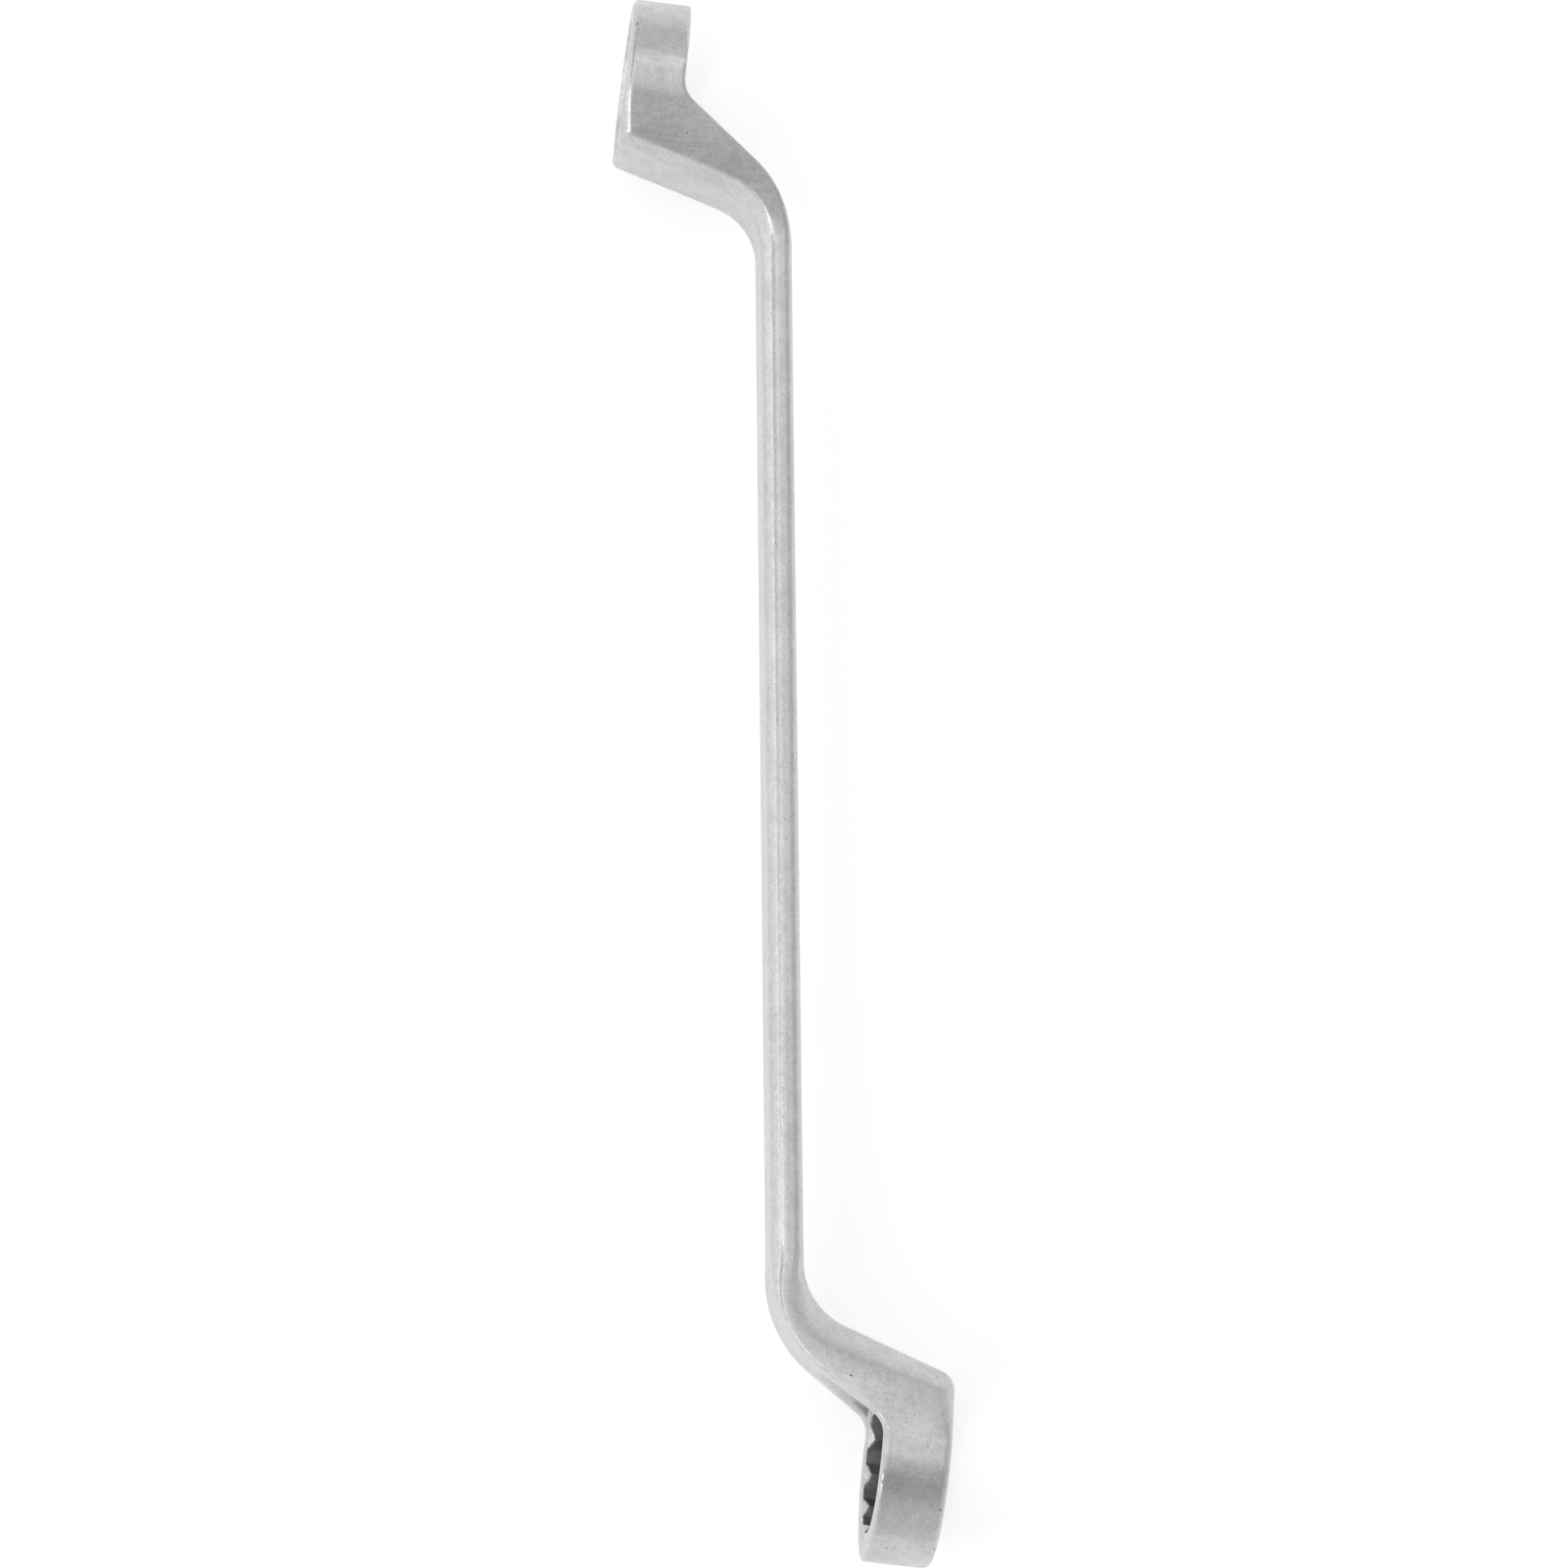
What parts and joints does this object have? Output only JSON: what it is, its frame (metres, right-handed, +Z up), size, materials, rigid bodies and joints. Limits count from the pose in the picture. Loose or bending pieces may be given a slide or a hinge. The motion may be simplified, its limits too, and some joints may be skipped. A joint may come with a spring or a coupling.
{
  "type": "ring spanner",
  "caption": "Offset ring spanner: a flat bevelled shank with a bent neck and a star shaped hole for hexagon nuts and bolt heads at each end.",
  "frame": {"origin": "centre of the bounding box in X and Y, on the surface the spanner lies on", "axes": "+X along the tool towards the large ring, Y along both ring axes with the large ring's outer face at +Y, +Z up with the spanner lying on the side walls of its rings"},
  "size_m": [0.319, 0.0972, 0.0415],
  "materials": {
    "satin_chrome": "satin"
  },
  "bodies": {
    "root": {"small_ring": "satin_chrome", "small_neck": "satin_chrome", "shank": "satin_chrome", "large_neck": "satin_chrome", "large_ring": "satin_chrome"}
  },
  "joints": []
}
